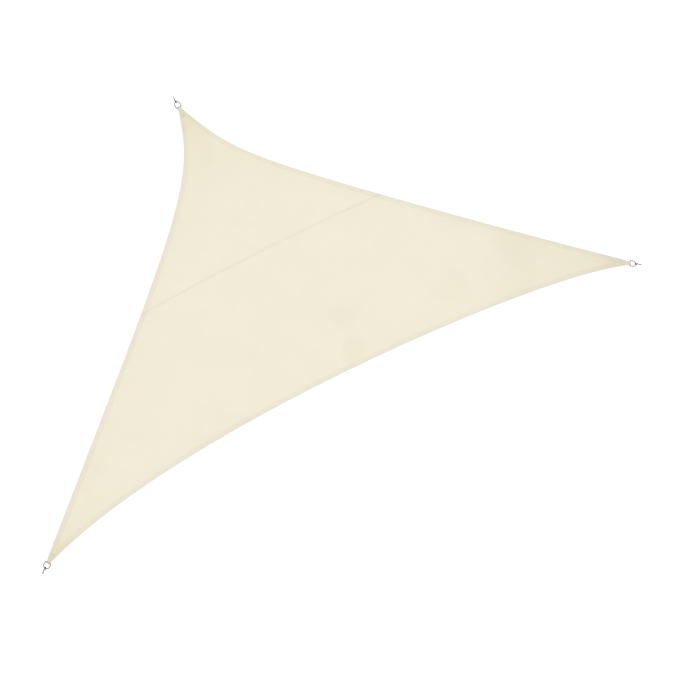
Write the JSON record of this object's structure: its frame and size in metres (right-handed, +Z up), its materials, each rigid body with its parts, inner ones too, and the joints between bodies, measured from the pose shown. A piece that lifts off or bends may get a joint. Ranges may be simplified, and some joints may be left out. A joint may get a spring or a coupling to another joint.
{
  "type": "shade sail with hooks",
  "caption": "Triangular shade sail of knitted cloth with hemmed edges and a lapped seam, hung stretched and sloping by a strap, D-ring and wire hook at each corner.",
  "frame": {"origin": "where the top anchor bears on its hook: the inner face of the outer bend of hook_top", "axes": "+Z up; +X to the right along the sail's longest extent; +Y away from the viewer, from the sail's long edge toward its top corner"},
  "size_m": [4.7473, 3.843, 1.4496],
  "materials": {
    "cloth": "cream knitted shade cloth, matt",
    "webbing": "cream woven webbing, matt",
    "steel": "smooth drawn wire, dark and slightly worn"
  },
  "bodies": {
    "root": {"panel_foot": "cloth", "panel_peak": "cloth", "strap_top": "webbing", "strap_right": "webbing", "strap_foot": "webbing", "d_ring_top": "steel", "d_ring_right": "steel", "d_ring_foot": "steel", "hook_top": "steel", "hook_right": "steel", "hook_foot": "steel"}
  },
  "joints": []
}
